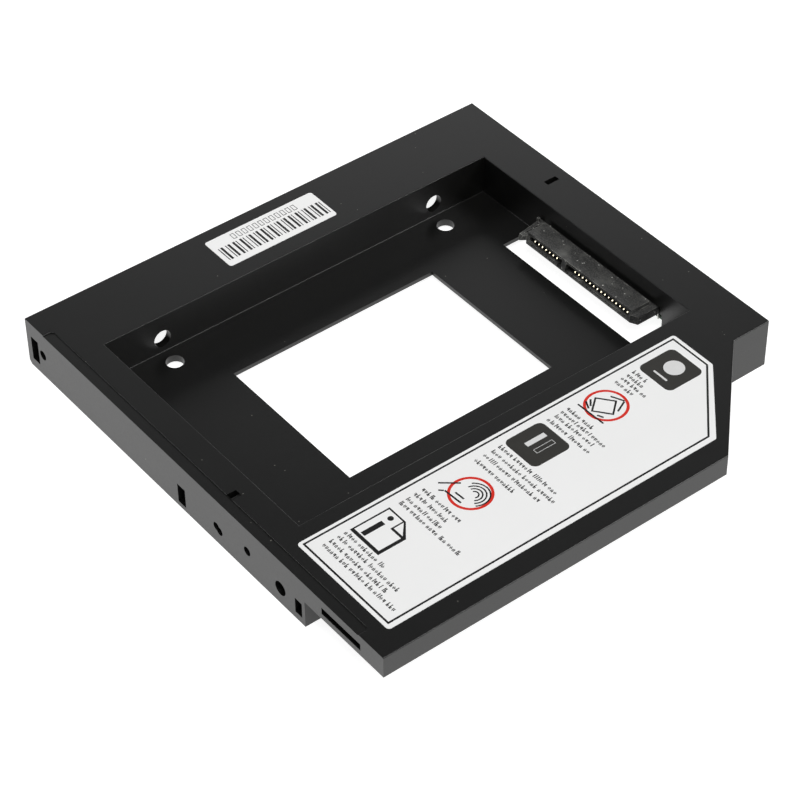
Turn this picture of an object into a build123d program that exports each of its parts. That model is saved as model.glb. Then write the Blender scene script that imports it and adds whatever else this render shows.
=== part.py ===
from build123d import *
import os

# Laptop drive caddy: a moulded tray that fills a slim optical drive bay and carries a 2.5-inch drive.
# Millimetres. X runs along the front edge, Y from the front edge to the rear, Z up.
# Sizes are taken from the front left corner of the base. Each piece is then moved, so that the
# origin is the middle of the base.

# Strips around the drive pocket, and the thin wing on the right. With the drive they make the
# slim bay's 128 mm by 126.5 mm by 12.7 mm.
height = 12.7
left_strip = 18.1
front_strip = 8.9
right_strip = 13.45
wing_width = 25.6
wing_underside = 7.2
wing_setback = 10.5  # from the rear edge to the wing, whose rear corner slopes at 45 degrees

# Moulded walls
wall = 1.2
skin = 1.2
edge_round = 0.3
foot_chamfer = 0.8
rib = 1.0
rib_recess = 2.0  # how far the ribs stop above the base
wing_rib_recess = 1.0

# The drive that the pocket is made for
drive_width = 69.85
drive_length = 100.2
drive_hole_spacing = 76.6
drive_hole_to_rear = 13.9
drive_hole_inset = 4.07

# Drive pocket
left_clearance = 0.3  # the side screws pull the drive towards the left wall
right_clearance = 0.7
slide_room = 6.2  # the drive drops in and then slides back on to the receptacle
rear_gap = 1.1
floor_top = 2.5
floor_thickness = 1.0
floor_round = 0.2
rim_round = 0.2
floor_hole_diameter = 4.2
side_hole_diameter = 4.4
side_hole_height = 3.7  # above the pocket floor
floor_pad_thickness = 1.8  # of the floor round a hole
side_pad_thickness = 1.75  # of the left wall round a hole
pad_margin = 1.2

# Window in the pocket floor
window_left = 33.8
window_front = 31.5
window_width = 42.0
window_length = 55.8

# Shallow ledge for a front panel, along the front edge of the top
ledge_inset_left = 7.4
ledge_inset_right = 7.95
ledge_width = 2.55
ledge_depth = 0.25
ledge_corner = 0.7
ledge_round = 0.2

# Slots in the front face, for the panel's clips: left edge, lower edge, width and height. Those
# marked so are placed from the right-hand end of the full-height part.
left_clip_slot = (1.8, 2.4, 2.8, 6.4)
middle_clip_slot = (44.45, 1.25, 2.75, 5.05)  # from the right-hand end
right_clip_slot = (3.3, 1.8, 2.3, 3.95)  # from the right-hand end
wing_slot_inset_left = 5.75
wing_slot_inset_right = 7.3
wing_slot_drop = 2.3  # below the top
wing_slot_height = 1.75

# Round holes in the front face: middle, height and diameter
left_pin_hole = (6.4, 6.3, 2.4)
right_pin_hole = (8.25, 4.4, 3.5)  # from the right-hand end
lamp_holes = ((30.45, 4.62, 2.1), (29.4, 4.02, 2.1))  # from the right-hand end
release_hole = (19.55, 6.0, 2.2)  # from the right-hand end

# Every opening in the front strip ends in a blind socket of its own
socket_depth = 5.0
socket_wall = 0.7

# Slots in the top: the front one's left edge from the right-hand end and its front edge, and both
# slots' width and length
front_top_slot = (29.75, 2.6, 1.9, 2.3)
front_slot_bar = (0.35, 0.4, 0.35)  # in it: from its right edge, width and how far below the top
rear_top_slot = (1.5, 3.45)
rear_top_slot_to_rear = 6.4

# Pins of both connectors
signal_count = 7
receptacle_power_count = 15
pin_pitch = 1.27
group_gap = 6.35
pin_width = 0.3
pin_thickness = 0.25
pin_clearance = 0.05
foot_length = 0.6  # of a pin's soldered end

# Receptacle for the drive, measured from the drive's middle line, the pocket's rear wall and its floor
first_pin = 9.675  # to the left of the middle line
reach = 6.6  # how far its lower lip stands out of the rear wall
plate_setback = 0.45
plate_length = 5.25
plate_margin = 2.1  # past the outer pin on the left
plate_margin_right = 1.85
left_ear = 2.3
left_ear_rise = 0.95  # its front part's underside above the lip's
left_ear_tip = (0.95, 1.25)  # to the left of the plate and in front of the lip
left_ear_nose = 0.65  # from the tip to the outer corner
left_ear_lean = 0.7  # of its sloping front face
left_ear_flare = 0.35  # at its rear end, where a peg stands
left_ear_peg = 0.6
left_ear_setback = 1.5  # of its lower part, from the lip
left_ear_groove = (0.85, 0.35, 0.4)  # in its top: to the left of the plate, width and depth
right_ear = 1.8
lip_height = 2.35  # underside above the pocket floor
lip_rise = 1.15
lip_wall = 0.5
trench_rise = 0.45
mouth_height = 1.4
plate_thickness = 0.65
shoulder_drop = 1.0
mouth_margin = 1.2
key_width = 1.2
key_rise = 0.3
partition = 1.4
crest_start = 0.97  # from the lip's front edge
crest_height = 0.3
crest_rise = 0.2
crest_length = 0.1

# Slot in the floor under the receptacle, and the notch in the rear wall that it stands in
slot_clearance_left = 2.8
slot_clearance_right = 1.65
slot_clearance_front = 2.5
notch_clearance_side = 0.8
notch_clearance_top = 0.3
notch_step_height = 3.1  # to the right of the receptacle, above the pocket floor

# Adapter board in the rear strip
board_thickness = 1.0
board_top = 3.6
board_margin = 5.0  # to the left of the receptacle
board_clearance = 0.25
housing_length = 3.8  # of the receptacle behind the plate's rear edge

# Plug for the laptop, at the rear edge
plug_right_clearance = 1.4
connector_gap = 2.0  # from the receptacle back to the plug
plug_width = 24.4
plug_length = 6.3
plug_height = 4.6
plug_power_count = 6
plug_power_pitch = 1.0
plug_gap = 4.75
plug_first_pin = 3.6
plug_wall = 1.2
plug_mouth_depth = 5.0
tongue_thickness = 1.1
tongue_setback = 0.5
tongue_margin = 0.9
tongue_key = 0.9
plug_pin_width = 0.5
plug_notch_clearance = 0.3

# Hold-downs of both connectors
clip_thickness = 0.25
clip_length = 2.0
clip_height = 2.6
clip_foot = 0.8
clip_lead = 0.15  # of the receptacle's tabs, from the pocket's rear wall

# Board screws, the left one from the board's left end and the right one from the plug, their
# bosses, and the hook that holds the board's left end
left_screw_along_board = 9.75
right_screw_to_plug = 3.95
screw_from_rear = 3.8
screw_diameter = 1.8
screw_length = 5.0
screw_head_diameter = 3.4
screw_head_height = 1.0
screw_recess_width = 0.5
screw_recess_depth = 0.5
screw_clearance = 0.1
boss_diameter = 4.2
hook_thickness = 1.2
hook_width = 3.0
hook_reach = 1.0
hook_clearance = 0.1

# Holes for the laptop's own rear bracket
bracket_x = (8.0, 28.0)
bracket_height = 6.3
bracket_hole_diameter = 1.7
bracket_boss_diameter = 4.0
bracket_boss_length = 5.0

# Chip parts on the board, from its left screw and its rear edge, and their length, width and height
chip_from_rear = 2.0
capacitors_from_screw = (4.4, 8.8)
capacitor_size = (3.2, 1.6, 1.3)
resistor_from_screw = 12.4
resistor_size = (1.6, 0.8, 0.5)
terminal = 0.4

# Stickers
sticker_thickness = 0.1
barcode_left = 3.45
barcode_front = 45.6
barcode_width = 10.35
barcode_length = 30.0
barcode_corner = 0.7
info_inset_left = 4.0  # from the pocket
info_inset_front = 5.3
info_inset_right = 5.2
info_inset_rear = 8.9  # from the end of the wing's slope
info_rear_width = 12.35
info_side_overrun = 1.4  # past the start of the wing's slope
info_corner = 0.8

# Worked out from the sizes above
pocket_left = left_strip
pocket_front = front_strip
pocket_right = pocket_left + left_clearance + drive_width + right_clearance
pocket_back = pocket_front + drive_length + slide_room
floor_bottom = floor_top - floor_thickness
hole_rear = pocket_back - rear_gap - drive_hole_to_rear
hole_rows = (hole_rear - drive_hole_spacing, hole_rear)
hole_left = pocket_left + left_clearance + drive_hole_inset
hole_right = pocket_right - right_clearance - drive_hole_inset
lip_front = pocket_back - reach
lip_bottom = floor_top + lip_height
lip_top = lip_bottom + lip_rise
trench_floor = lip_bottom + trench_rise
mouth_top = lip_top + mouth_height
plate_front = lip_front + plate_setback
plate_back = plate_front + plate_length
plate_top = mouth_top + plate_thickness
shoulder_top = plate_top - shoulder_drop
housing_back = plate_back + housing_length
depth = housing_back + connector_gap + plug_length
body_width = pocket_right + right_strip
width = body_width + wing_width
wing_rear = depth - wing_setback
wing_side = wing_rear - wing_width
plug_right = body_width - wall - plug_right_clearance
plug_left = plug_right - plug_width
plug_front = depth - plug_length
plug_top = board_top + plug_height
drive_middle = pocket_left + left_clearance + drive_width / 2
signal_pins = [drive_middle - first_pin + pin_pitch * i for i in range(signal_count)]
power_pins = [signal_pins[-1] + group_gap + pin_pitch * i for i in range(receptacle_power_count)]
plate_left = signal_pins[0] - plate_margin
plate_right = power_pins[-1] + plate_margin_right
ear_left = plate_left - left_ear
ear_right = plate_right + right_ear
board_left = ear_left - board_margin
board_right = body_width - wall - board_clearance
board_front = pocket_back + wall + board_clearance
board_rear = depth - wall - board_clearance
board_bottom = board_top - board_thickness
screw_x = [board_left + left_screw_along_board, plug_left - right_screw_to_plug]
screw_y = depth - screw_from_rear
plug_signal_pins = [plug_left + plug_first_pin + pin_pitch * i for i in range(signal_count)]
plug_power_pins = [plug_signal_pins[-1] + plug_gap + plug_power_pitch * i for i in range(plug_power_count)]


def from_right(opening):
    # An opening whose first value is measured from the right-hand end of the full-height part.
    return (body_width - opening[0], *opening[1:])


wing_slot = (
    body_width + wing_slot_inset_left,
    height - wing_slot_drop - wing_slot_height,
    wing_width - wing_slot_inset_left - wing_slot_inset_right,
    wing_slot_height,
)
front_slots = [left_clip_slot, from_right(middle_clip_slot), from_right(right_clip_slot), wing_slot]
right_holes = [from_right(hole) for hole in (right_pin_hole, release_hole, *lamp_holes)]
front_holes = [left_pin_hole, *right_holes]


def block(x, y, z):
    # A box from three pairs of low and high values.
    sizes = [high - low for low, high in (x, y, z)]
    middle = [(high + low) / 2 for low, high in (x, y, z)]
    return Pos(*middle) * Box(*sizes)


def around(middle, size):
    # A pair of low and high values either side of a middle.
    return (middle - size / 2, middle + size / 2)


def slab(points, bottom, top):
    # A flat outline in plan, raised from bottom to top.
    outline = make_face(Polyline(*points, close=True))
    return extrude(Pos(0, 0, bottom) * outline, top - bottom)


def profile(face, left, right):
    # A face drawn with Y to the right and Z up, run along X from left to right.
    return extrude(Plane.YZ.offset(left) * face, right - left)


def strip(path, left, right, thickness=pin_thickness):
    # A bent metal strip whose middle line is a path in Y and Z.
    return profile(trace(Polyline(*path), line_width=thickness), left, right)


def drill_down(x, y, diameter, bottom, top):
    return Pos(x, y, (bottom + top) / 2) * Cylinder(diameter / 2, top - bottom)


def drill_back(x, z, diameter, front, back):
    return Pos(x, (front + back) / 2, z) * Rot(90, 0, 0) * Cylinder(diameter / 2, back - front)


def drill_across(y, z, diameter, left, right):
    return Pos((left + right) / 2, y, z) * Rot(0, 90, 0) * Cylinder(diameter / 2, right - left)


def wing_outline(left):
    return [(left, 0), (width, 0), (width, wing_side), (body_width, wing_rear), (left, wing_rear)]


def outer_form():
    body = block((0, body_width), (0, depth), (0, height))
    keel = body.edges().filter_by(Axis.Y).sort_by(Axis.Z)[:2].sort_by(Axis.X)[0]
    body = chamfer(keel, foot_chamfer)
    form = body + slab(wing_outline(body_width - wall), wing_underside, height)
    top_edges = form.faces().sort_by(Axis.Z)[-1].outer_wire().edges()
    sides = [edge for edge in top_edges if edge.center().X > body_width - wall / 2 and edge.center().Y > 0]
    return fillet(sides, min(edge_round, skin / 2))


def hollow_underside():
    # The strips around the pocket are open below, and so is the wing.
    ring = block((wall, body_width - wall), (wall, depth - wall), (0, height - skin))
    around_pocket_x = (pocket_left - wall, pocket_right + wall)
    around_pocket_y = (pocket_front - wall, pocket_back + wall)
    ring -= block(around_pocket_x, around_pocket_y, (0, height))
    below_floor = block((pocket_left, pocket_right), (pocket_front, pocket_back), (0, floor_bottom))
    outline = make_face(Polyline(*wing_outline(body_width - wall), close=True))
    inner = offset(outline, -wall, kind=Kind.INTERSECTION)
    wing = extrude(Pos(0, 0, wing_underside) * inner, height - skin - wing_underside)
    return [ring, below_floor, wing]


def ribs():
    # Thin cross ribs in the hollow strips and the wing, joined to the top skin.
    level = (rib_recess, height - skin)
    left_strip = (wall / 2, pocket_left - wall / 2)
    right_strip = (pocket_right + wall / 2, body_width - wall / 2)
    front_strip = (wall / 2, pocket_front - wall / 2)
    rear_strip = (pocket_back + wall / 2, depth - wall / 2)
    window_middle = window_front + window_length / 2
    parts = []
    for step in (-1, 0, 1):
        y = around(window_middle + step * window_length / 3, rib)
        parts.append(block(left_strip, y, level))
        parts.append(block(right_strip, y, level))
    for share in (0, 1, 2, 3):
        x = around(pocket_left - wall / 2 + share * window_length * 0.28, rib)
        parts.append(block(x, front_strip, level))
    parts.append(block(around(pocket_left - wall / 2, rib), rear_strip, level))
    wing_strip = (body_width - wall / 2, width - wall / 2)
    wing_level = (wing_underside + wing_rib_recess, height - skin)
    for share in (0.25, 0.5, 0.75, 1.0):
        parts.append(block(wing_strip, around(wing_side * share, rib), wing_level))
    return parts


def board_supports():
    # Bosses that the board is screwed against, and a hook under its left end.
    parts = [drill_down(x, screw_y, boss_diameter, board_top, height - skin / 2) for x in screw_x]
    hook_y = around(depth - rear_top_slot_to_rear + rear_top_slot[1] / 2, hook_width)
    arm_right = board_left - hook_clearance
    arm_left = arm_right - hook_thickness
    barb_top = board_bottom - hook_clearance
    outline = Polyline(
        (arm_left, height - skin / 2),
        (arm_right, height - skin / 2),
        (arm_right, barb_top),
        (arm_right + hook_reach, barb_top),
        (arm_right, barb_top - hook_reach),
        (arm_left, barb_top - hook_reach),
        close=True,
    )
    hook = extrude(Plane.XZ.offset(-hook_y[1]) * make_face(outline), hook_width)
    parts.append(hook)
    for x in bracket_x:
        front = depth - wall - bracket_boss_length
        parts.append(drill_back(x, bracket_height, bracket_boss_diameter, front, depth - wall / 2))
    return parts


def sockets():
    # The blocks and tubes behind the front openings, which are cut into them later.
    deep = (wall / 2, socket_depth + socket_wall)
    parts = []
    for left, low, wide, high in front_slots:
        wide_block = (left - socket_wall, left + wide + socket_wall)
        parts.append(block(wide_block, deep, (low - socket_wall, low + high + socket_wall)))
    for x, z, diameter in front_holes:
        parts.append(drill_back(x, z, diameter + 2 * socket_wall, *deep))
    left, front, wide, long = from_right(front_top_slot)
    slot_x = (left - socket_wall, left + wide + socket_wall)
    slot_y = (wall / 2, front + long + socket_wall)
    parts.append(block(slot_x, slot_y, (height - socket_depth, height - skin / 2)))
    return parts


def hole_pads():
    # The floor and the left wall are thicker round the drive's screw holes.
    parts = []
    for y in hole_rows:
        for x in (hole_left, hole_right):
            pad = floor_hole_diameter + 2 * pad_margin
            parts.append(drill_down(x, y, pad, floor_top - floor_pad_thickness, floor_top))
        pad = side_hole_diameter + 2 * pad_margin
        z = floor_top + side_hole_height
        parts.append(drill_across(y, z, pad, pocket_left - side_pad_thickness, pocket_left))
    return parts


def pocket_cut():
    pocket = block((pocket_left, pocket_right), (pocket_front, pocket_back), (floor_top, height))
    floor_edges = pocket.faces().sort_by(Axis.Z)[0].edges()
    pocket = fillet(floor_edges, floor_round)
    window = block(
        (window_left, window_left + window_width),
        (window_front, window_front + window_length),
        (0, floor_top),
    )
    slot = block(
        (ear_left - slot_clearance_left, ear_right + slot_clearance_right),
        (lip_front - slot_clearance_front, pocket_back),
        (0, floor_top + floor_round),
    )
    notch = block(
        (ear_left - notch_clearance_side, ear_right + notch_clearance_side),
        (pocket_back, pocket_back + wall),
        (0, shoulder_top + notch_clearance_top),
    )
    notch += block(
        (ear_right, ear_right + slot_clearance_right),
        (pocket_back, pocket_back + wall),
        (0, floor_top + notch_step_height),
    )
    return [pocket, window, slot, notch]


def fixing_holes():
    cuts = []
    for y in hole_rows:
        for x in (hole_left, hole_right):
            cuts.append(drill_down(x, y, floor_hole_diameter, 0, floor_top))
        z = floor_top + side_hole_height
        cuts.append(drill_across(y, z, side_hole_diameter, pocket_left - side_pad_thickness, pocket_left))
    for x in bracket_x:
        front = depth - wall - bracket_boss_length
        cuts.append(drill_back(x, bracket_height, bracket_hole_diameter, front, depth))
    for x in screw_x:
        cuts.append(drill_down(x, screw_y, screw_diameter + screw_clearance, board_top, height - skin))
    return cuts


def front_cuts():
    cuts = []
    for left, low, wide, high in front_slots:
        cuts.append(block((left, left + wide), (0, socket_depth), (low, low + high)))
    for x, z, diameter in front_holes:
        cuts.append(drill_back(x, z, diameter, 0, socket_depth))
    left, front, wide, long = from_right(front_top_slot)
    deep = socket_depth - socket_wall
    front_slot = block((left, left + wide), (front, front + long), (height - deep, height))
    bar_inset, bar_width, bar_drop = front_slot_bar
    bar_right = left + wide - bar_inset
    bar = block((bar_right - bar_width, bar_right), (front, front + long), (height - deep, height - bar_drop))
    cuts.append(front_slot - bar)
    wide, long = rear_top_slot
    left = board_left - hook_clearance
    front = depth - rear_top_slot_to_rear
    cuts.append(block((left, left + wide), (front, front + long), (height - skin, height)))
    plug_notch = block(
        (plug_left - plug_notch_clearance, plug_right + plug_notch_clearance),
        (depth - wall, depth),
        (0, plug_top + plug_notch_clearance),
    )
    cuts.append(plug_notch)
    return cuts


def with_ledge(shell):
    # The ledge, whose step has a rounded upper edge all the way round.
    left = ledge_inset_left
    right = width - ledge_inset_right
    outline = [
        (left, 0),
        (right, 0),
        (right, ledge_width - ledge_corner),
        (right - ledge_corner, ledge_width),
        (left + ledge_corner, ledge_width),
        (left, ledge_width - ledge_corner),
    ]
    shell -= slab(outline, height - ledge_depth, height)
    edges = shell.edges().filter_by_position(Axis.Z, height - ledge_depth / 2, height)
    edges = edges.filter_by_position(Axis.Y, ledge_corner, ledge_width + ledge_corner / 2)
    step = edges.filter_by_position(Axis.X, left - ledge_corner, right + ledge_corner)
    return fillet(step, ledge_round)


def tray_shell():
    shell = outer_form()
    shell -= hollow_underside()
    shell += ribs()
    shell += board_supports()
    shell += sockets()
    shell += hole_pads()
    shell -= pocket_cut()
    shell -= fixing_holes()
    rim = shell.faces().sort_by(Axis.Z)[-1].inner_wires()[0].edges()
    shell = fillet(rim, rim_round)
    shell = with_ledge(shell)
    return shell - front_cuts()


def receptacle_mouths():
    # Two mouths with a foot each, either side of the partition.
    middle = (signal_pins[-1] + power_pins[0]) / 2
    keys_at = (middle - partition / 2, middle + partition / 2)
    mouths = (
        (signal_pins[0] - mouth_margin, keys_at[0], keys_at[0] - key_width, keys_at[0]),
        (keys_at[1], power_pins[-1] + mouth_margin, keys_at[1], keys_at[1] + key_width),
    )
    deep = (lip_front, plate_back - lip_wall)
    trench = (lip_front + lip_wall, plate_back - lip_wall)
    cuts = []
    for left, right, key_left, key_right in mouths:
        cuts.append(block((left, right), deep, (lip_top, mouth_top)))
        cuts.append(block((left, right), trench, (trench_floor, lip_top)))
        cuts.append(block((key_left, key_right), deep, (lip_bottom + key_rise, lip_top)))
    return cuts


def receptacle_pin_slots():
    lip = (lip_front, lip_front + lip_wall)
    run = (plate_back - lip_wall, housing_back)
    cuts = []
    for x in signal_pins + power_pins:
        wide = around(x, pin_width + 2 * pin_clearance)
        cuts.append(block(wide, lip, (trench_floor, trench_floor + trench_rise)))
        cuts.append(block(wide, run, (trench_floor, trench_floor + pin_thickness + pin_clearance)))
    return cuts


def left_ear_part():
    # A flaring ear with a raised, sloping front, a peg at its rear end, and a lower part set back.
    tip_left, tip_reach = left_ear_tip
    tip_front = lip_front - tip_reach
    underside = lip_bottom + left_ear_rise
    outer = ear_left - left_ear_flare
    outline = [
        (plate_left, lip_front),
        (plate_left - tip_left, tip_front),
        (plate_left - tip_left - left_ear_nose, tip_front + left_ear_nose / 2),
        (outer, pocket_back - left_ear_peg),
        (outer, pocket_back),
        (ear_left, pocket_back),
        (ear_left, housing_back),
        (plate_left, housing_back),
    ]
    front_face = Polyline(
        (tip_front, underside),
        (tip_front + left_ear_lean, shoulder_top),
        (tip_front, shoulder_top),
        close=True,
    )
    lower_y = (lip_front + left_ear_setback, housing_back)
    lower = block((ear_left, plate_left), lower_y, (lip_bottom, underside))
    peg_x = (outer, outer + left_ear_peg)
    peg_y = (pocket_back - 2 * left_ear_peg, pocket_back - left_ear_peg)
    peg = block(peg_x, peg_y, (underside, plate_top))
    groove_left, groove_width, groove_depth = left_ear_groove
    groove_right = plate_left - groove_left
    groove_x = (groove_right - groove_width, groove_right)
    groove = block(groove_x, (plate_front, plate_back), (shoulder_top - groove_depth, shoulder_top))
    ear = slab(outline, underside, shoulder_top) - profile(make_face(front_face), outer, plate_left)
    return ear - groove + lower + peg


def drive_receptacle():
    section = Polyline(
        (lip_front, lip_bottom),
        (lip_front, lip_top),
        (plate_front, mouth_top),
        (plate_front, plate_top),
        (plate_back, plate_top),
        (plate_back, lip_bottom),
        close=True,
    )
    middle = profile(make_face(section), plate_left, plate_right)
    nose = plate_setback
    right_guide = [
        (plate_right, lip_front),
        (ear_right, lip_front + 2 * nose),
        (ear_right, housing_back),
        (plate_right, housing_back),
    ]
    rear = block((plate_left, plate_right), (plate_back, housing_back), (lip_bottom, shoulder_top))
    on_board = (board_front + board_clearance, housing_back)
    foot = block((ear_left, ear_right), on_board, (board_top, lip_bottom))
    housing = middle + rear + foot
    housing += left_ear_part()
    housing += slab(right_guide, lip_bottom, shoulder_top)
    return housing - receptacle_mouths() - receptacle_pin_slots()


def receptacle_pin(x):
    # A sprung strip: it rises to a contact crest in the mouth and ends in a foot on the board.
    run = trench_floor + pin_thickness / 2
    crest = lip_top + crest_height - pin_thickness / 2
    start = lip_front + crest_start
    tail = housing_back + pin_thickness
    foot = board_top + pin_thickness / 2
    path = [
        (start, crest - crest_rise),
        (start + crest_rise, crest),
        (start + crest_rise + crest_length, crest),
        (plate_back - 2 * lip_wall - trench_rise, run),
        (tail, run),
        (tail, foot),
        (tail + foot_length, foot),
    ]
    return strip(path, *around(x, pin_width))


def plug_tongues():
    # Each tongue ends beside the gap in a short leg, the key.
    bottom = board_top + (plug_height - tongue_thickness) / 2
    top = bottom + tongue_thickness
    deep = (depth - plug_mouth_depth, depth - tongue_setback)
    left = plug_signal_pins[0] - tongue_margin
    gap_left = plug_signal_pins[-1] + tongue_margin
    gap_right = plug_power_pins[0] - tongue_margin
    right = plug_power_pins[-1] + tongue_margin
    signal = block((left, gap_left), deep, (bottom, top))
    signal += block((gap_left - tongue_key, gap_left), deep, (bottom - tongue_key, bottom))
    power = block((gap_right, right), deep, (bottom, top))
    power += block((gap_right, gap_right + tongue_key), deep, (bottom - tongue_key, bottom))
    return signal + power, top


def host_plug():
    shell = block((plug_left, plug_right), (plug_front, depth), (board_top, plug_top))
    mouth_x = (plug_left + plug_wall, plug_right - plug_wall)
    mouth_z = (board_top + plug_wall / 2, plug_top - plug_wall / 2)
    mouth = block(mouth_x, (depth - plug_mouth_depth, depth), mouth_z)
    tongues, tongue_top = plug_tongues()
    plug = shell - mouth + tongues
    run = (plug_front, depth - 2 * tongue_setback)
    groove = (tongue_top - pin_thickness / 2, tongue_top + pin_thickness)
    for x in plug_signal_pins + plug_power_pins:
        plug -= block(around(x, plug_pin_width + 2 * pin_clearance), run, groove)
    return plug


def plug_pin(x):
    tongue_top = board_top + (plug_height + tongue_thickness) / 2
    tail = plug_front - pin_thickness
    foot = board_top + pin_thickness / 2
    path = [
        (depth - 2 * tongue_setback - pin_clearance, tongue_top),
        (tail, tongue_top),
        (tail, foot),
        (tail - foot_length, foot),
    ]
    return strip(path, *around(x, plug_pin_width))


def hold_down(x, tab_front, foot_front, side):
    # A metal tab on a connector's end, with a soldered foot. Side is -1 on the left and 1 on the right.
    back = foot_front + clip_length
    tab_x = sorted((x, x + side * clip_thickness))
    foot_x = sorted((x, x + side * clip_foot))
    tab = block(tab_x, (tab_front, back), (board_top, board_top + clip_height))
    foot = block(foot_x, (foot_front, back), (board_top, board_top + clip_thickness))
    return tab + foot


def adapter_board():
    board = block((board_left, board_right), (board_front, board_rear), (board_bottom, board_top))
    for x in screw_x:
        board -= drill_down(x, screw_y, screw_diameter + 2 * screw_clearance, board_bottom, board_top)
    return board


def board_screw(x):
    head_bottom = board_bottom - screw_head_height
    head = drill_down(x, screw_y, screw_head_diameter, head_bottom, board_bottom)
    rim = head.edges().filter_by(GeomType.CIRCLE).sort_by(Axis.Z)[0]
    head = fillet(rim, screw_head_height / 3)
    shank = drill_down(x, screw_y, screw_diameter, board_bottom, head_bottom + screw_length)
    cross = (head_bottom, head_bottom + screw_recess_depth)
    long = around(0, screw_head_diameter * 0.6)
    short = around(0, screw_recess_width)
    recess = Pos(x, screw_y, 0) * (block(long, short, cross) + block(short, long, cross))
    return head + shank - recess


def chip(x, size):
    # A ceramic body with a raised metal cap round each end.
    long, wide, high = size
    y = board_rear - chip_from_rear
    rise = terminal / 8
    tall = (board_top, board_top + high)
    body_y = around(y, wide - 2 * rise)
    chip_body = block(around(x, long - terminal), body_y, (board_top, board_top + high - rise))
    left_cap = block((x - long / 2, x - long / 2 + terminal), around(y, wide), tall)
    right_cap = block((x + long / 2 - terminal, x + long / 2), around(y, wide), tall)
    return chip_body + left_cap + right_cap


def barcode_sticker():
    face = RectangleRounded(barcode_width, barcode_length, barcode_corner)
    x = barcode_left + barcode_width / 2
    y = barcode_front + barcode_length / 2
    return extrude(Pos(x, y, height) * face, sticker_thickness)


def info_sticker():
    left = pocket_right + info_inset_left
    right = width - info_inset_right
    rear = wing_rear - info_inset_rear
    points = [
        (left, info_inset_front),
        (right, info_inset_front),
        (right, wing_side + info_side_overrun),
        (left + info_rear_width, rear),
        (left, rear),
    ]
    sticker = slab(points, height, height + sticker_thickness)
    return fillet(sticker.edges().filter_by(Axis.Z), info_corner)


def group(pieces):
    return Compound(children=list(pieces))


clip_y = (pocket_back + clip_lead, board_front)
plug_clip_y = [plug_front + (plug_length - clip_length) / 3] * 2
nodes = {
    "tray_shell": tray_shell(),
    "drive_receptacle": drive_receptacle(),
    "drive_signal_contacts": group(receptacle_pin(x) for x in signal_pins),
    "drive_power_contacts": group(receptacle_pin(x) for x in power_pins),
    "drive_clip_left": hold_down(ear_left, *clip_y, -1),
    "drive_clip_right": hold_down(ear_right, *clip_y, 1),
    "adapter_board": adapter_board(),
    "host_plug": host_plug(),
    "host_signal_contacts": group(plug_pin(x) for x in plug_signal_pins),
    "host_power_contacts": group(plug_pin(x) for x in plug_power_pins),
    "host_clip_left": hold_down(plug_left, *plug_clip_y, -1),
    "host_clip_right": hold_down(plug_right, *plug_clip_y, 1),
    "board_screw_left": board_screw(screw_x[0]),
    "board_screw_right": board_screw(screw_x[1]),
    "supply_capacitor_a": chip(screw_x[0] + capacitors_from_screw[0], capacitor_size),
    "supply_capacitor_b": chip(screw_x[0] + capacitors_from_screw[1], capacitor_size),
    "presence_resistor": chip(screw_x[0] + resistor_from_screw, resistor_size),
    "barcode_sticker": barcode_sticker(),
    "info_sticker": info_sticker(),
}

os.makedirs("parts", exist_ok=True)
to_base_middle = Pos(-width / 2, -depth / 2, 0)
for name, shape in nodes.items():
    export_step(to_base_middle * shape, f"parts/{name}.step")
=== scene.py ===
import math
import random

import bmesh
import bpy
from mathutils import Matrix, Vector


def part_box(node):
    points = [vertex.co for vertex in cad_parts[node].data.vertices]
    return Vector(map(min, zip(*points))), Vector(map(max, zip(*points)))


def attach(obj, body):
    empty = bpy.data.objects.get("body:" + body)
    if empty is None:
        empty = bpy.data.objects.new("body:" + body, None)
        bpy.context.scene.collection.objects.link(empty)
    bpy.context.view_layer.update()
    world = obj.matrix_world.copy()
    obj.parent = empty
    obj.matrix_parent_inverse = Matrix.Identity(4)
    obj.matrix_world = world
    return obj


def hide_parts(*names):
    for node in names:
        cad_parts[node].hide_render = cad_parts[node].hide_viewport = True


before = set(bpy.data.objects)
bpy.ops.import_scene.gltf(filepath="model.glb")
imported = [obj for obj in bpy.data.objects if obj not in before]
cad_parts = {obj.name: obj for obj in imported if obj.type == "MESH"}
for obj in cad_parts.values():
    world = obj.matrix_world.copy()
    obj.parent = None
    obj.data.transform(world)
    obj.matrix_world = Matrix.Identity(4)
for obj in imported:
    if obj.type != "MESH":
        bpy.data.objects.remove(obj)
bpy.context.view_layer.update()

shellLow, shellHigh = (Vector(corner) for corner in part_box("tray_shell"))
topMm = (shellHigh.z - shellLow.z) * 1000
print("frame loaded,", len(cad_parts), "nodes")


# Lengths below are in mm from the tray's front left corner, as the tray was measured.
def place(x, y, z):
    return Vector((shellLow.x + x / 1000, shellLow.y + y / 1000, shellLow.z + z / 1000))


def hexToLinear(code):
    channels = [int(code[i:i + 2], 16) / 255 for i in (1, 3, 5)]
    return [c / 12.92 if c <= 0.04045 else ((c + 0.055) / 1.055) ** 2.4 for c in channels] + [1.0]


def perMetre(sizeMm):
    return 1000 / sizeMm  # how many of a pattern go into a metre of object space


# A Mix node's colour sockets go by number, because their names repeat.
firstColour, secondColour, mixedColour = 6, 7, 2


# Adds one node, sets its properties and input values, and links its inputs.
def addNode(tree, kind, settings=None, links=None):
    node = tree.nodes.new(kind)
    for name, value in (settings or {}).items():
        if isinstance(name, str) and hasattr(node, name):
            setattr(node, name, value)
        else:
            node.inputs[name].default_value = value
    for name, source in (links or {}).items():
        tree.links.new(source, node.inputs[name])
    return node


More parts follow.
